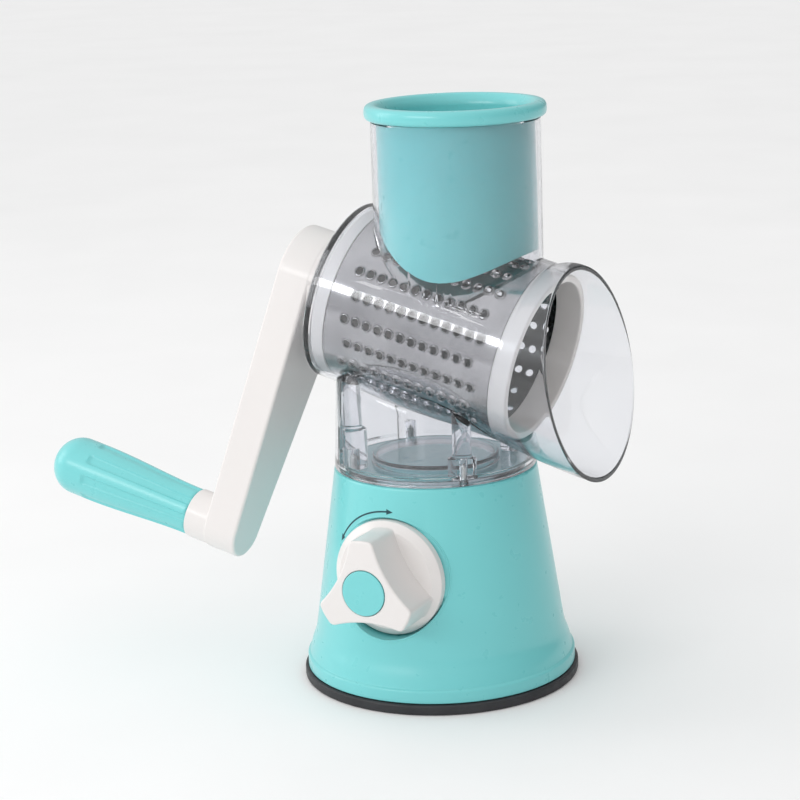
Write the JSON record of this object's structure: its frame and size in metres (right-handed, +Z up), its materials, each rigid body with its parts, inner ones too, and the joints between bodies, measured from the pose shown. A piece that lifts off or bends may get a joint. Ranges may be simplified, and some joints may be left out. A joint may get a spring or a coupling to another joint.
{
  "type": "rotary cheese grater",
  "caption": "Hand-cranked rotary grater: suction base with lock knob, clear housing with feed chute and discharge mouth, removable steel drum, food pusher.",
  "frame": {"origin": "centre of the suction pad's flat underside", "axes": "+Z up, +X towards the discharge mouth, -Y towards the face with the lock knob"},
  "size_m": [0.274, 0.141, 0.2698],
  "materials": {
    "turquoise_plastic": "glossy moulded plastic",
    "white_plastic": "glossy moulded plastic",
    "clear_plastic": "clear polished plastic",
    "stainless_sheet": "polished stainless sheet",
    "zinc_steel": "zinc plated",
    "grey_plastic": "matt moulded plastic",
    "black_rubber": "matt rubber"
  },
  "bodies": {
    "base": {"suction_pad": "black_rubber", "base_shell": "turquoise_plastic", "spring_plate": "grey_plastic", "plate_screw_1": "zinc_steel", "plate_screw_2": "zinc_steel", "plate_screw_3": "zinc_steel", "plate_screw_4": "zinc_steel", "lift_spring": "zinc_steel", "seat_plate": "clear_plastic", "clear_housing": "clear_plastic", "housing_screw_1": "zinc_steel", "housing_screw_2": "zinc_steel", "housing_screw_3": "zinc_steel", "housing_screw_4": "zinc_steel"},
    "crank": {"crank_arm": "white_plastic", "drive_shaft": "white_plastic", "shaft_screw": "zinc_steel", "hub_cap": "white_plastic", "grip_pin": "zinc_steel"},
    "grip": {"handle_grip": "turquoise_plastic"},
    "drum": {"drum_shell": "stainless_sheet", "drum_front_ring": "white_plastic", "drum_drive_ring": "white_plastic"},
    "pusher": {"food_pusher": "turquoise_plastic"},
    "knob": {"lock_knob": "white_plastic", "knob_cap": "turquoise_plastic", "knob_screw": "zinc_steel", "cam_shaft": "grey_plastic", "shaft_clip": "zinc_steel"},
    "stem": {"suction_stem": "grey_plastic"}
  },
  "joints": [
    {"name": "crank_turn", "type": "hinge", "parent": "base", "child": "crank", "pos_m": [0, 0, 0.1697], "axis": [0.9681, 0, -0.2504], "continuous": true},
    {"name": "grip_spin", "type": "hinge", "parent": "crank", "child": "grip", "pos_m": [-0.14592, -0.0375, 0.08473], "axis": [0.9681, 0, -0.2504], "continuous": true},
    {"name": "drum_removal", "type": "slide", "parent": "crank", "child": "drum", "axis": [0.9681, 0, -0.2504], "range_m": [0, 0.13]},
    {"name": "pusher_lift", "type": "slide", "parent": "base", "child": "pusher", "axis": [0, 0, 1], "range_m": [0, 0.09]},
    {"name": "knob_turn", "type": "hinge", "parent": "base", "child": "knob", "pos_m": [0, 0, 0.0597], "axis": [0, 1, 0], "range_deg": [0, 90]},
    {"name": "stem_lift", "type": "slide", "parent": "base", "child": "stem", "axis": [0, 0, 1], "range_m": [0, 0.00353], "deforming": ["lift_spring"]}
  ],
  "couplings": [
    {"joint": "knob_turn", "follows": "stem_lift", "rad_per_m": 444.28}
  ]
}
